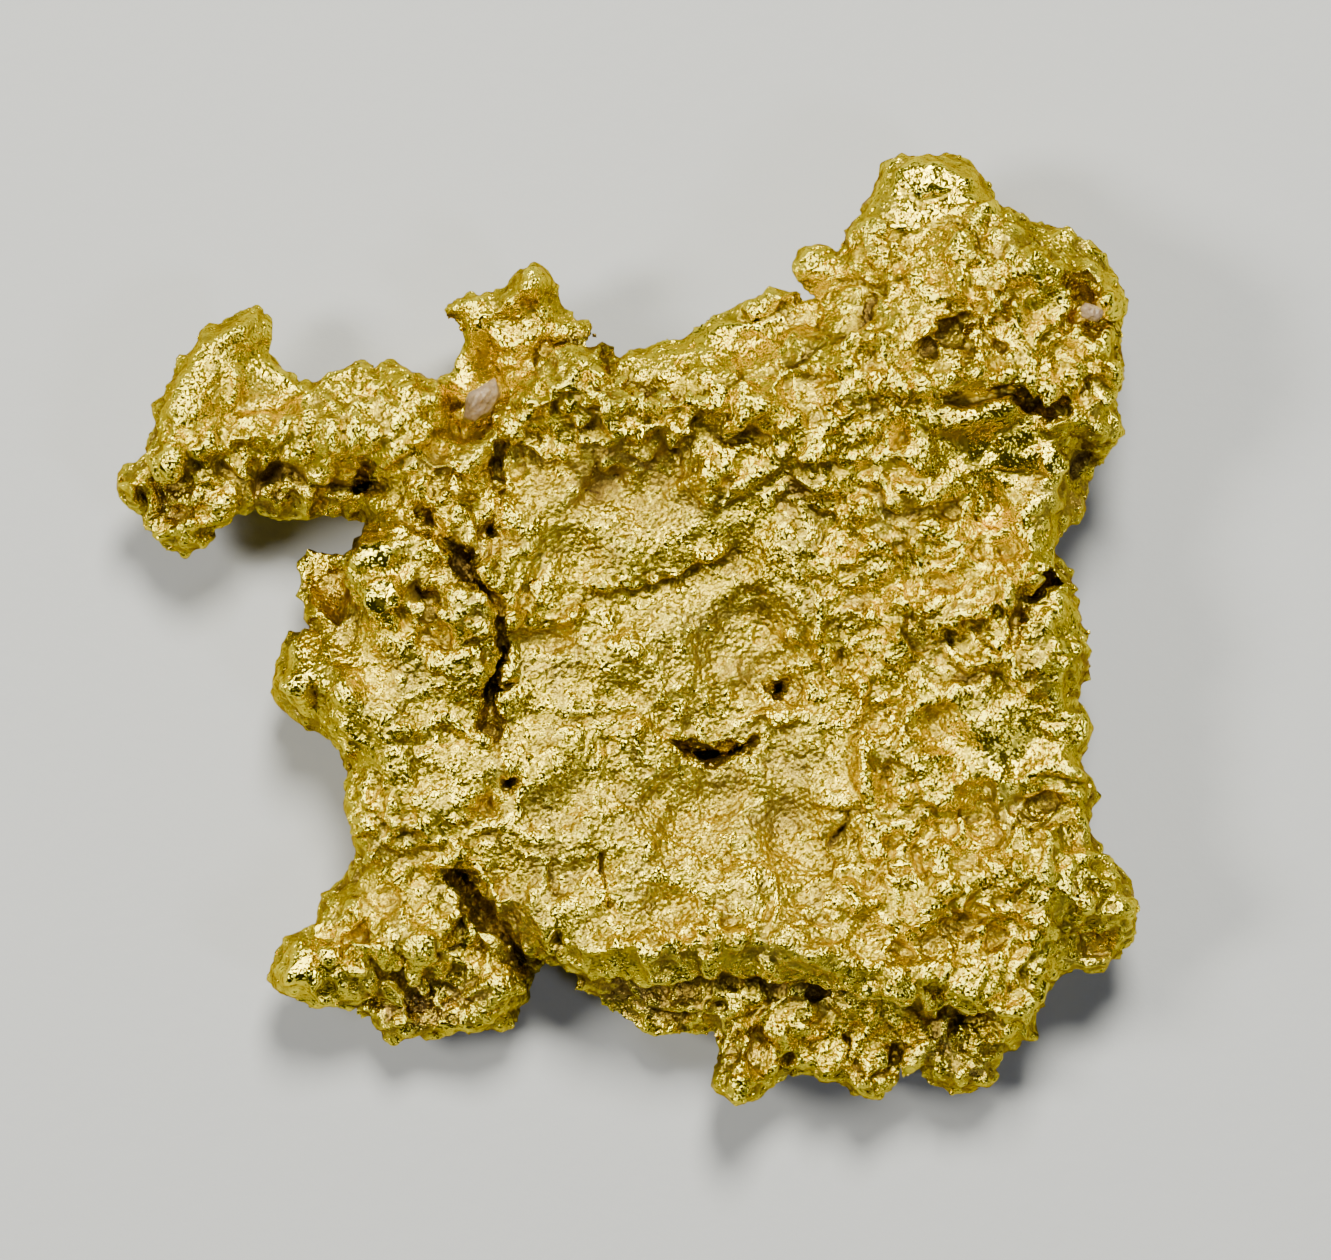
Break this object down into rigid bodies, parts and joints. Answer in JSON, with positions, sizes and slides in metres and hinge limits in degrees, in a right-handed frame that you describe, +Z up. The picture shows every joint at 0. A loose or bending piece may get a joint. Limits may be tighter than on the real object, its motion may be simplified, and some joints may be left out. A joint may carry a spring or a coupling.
{
  "type": "gold nugget",
  "caption": "Leafy native gold nugget with crumpled ridges, a folded left arm, worn pits and small bits of quartz in its hollows",
  "frame": {"origin": "middle of the object's bounding box in plan, at the level of the surface that the nugget lies on", "axes": "+Z up out of the pictured face, +X to the right of the picture along the longest extent, +Y towards the top of the picture"},
  "size_m": [0.0206, 0.019, 0.0046],
  "materials": {
    "native_gold": "raw, worn native gold with matte hollows and polished crests",
    "quartz": "dull translucent pinkish grey quartz"
  },
  "bodies": {
    "root": {"gold_nugget": "native_gold", "quartz_grain": "quartz", "quartz_chip": "quartz"}
  },
  "joints": []
}
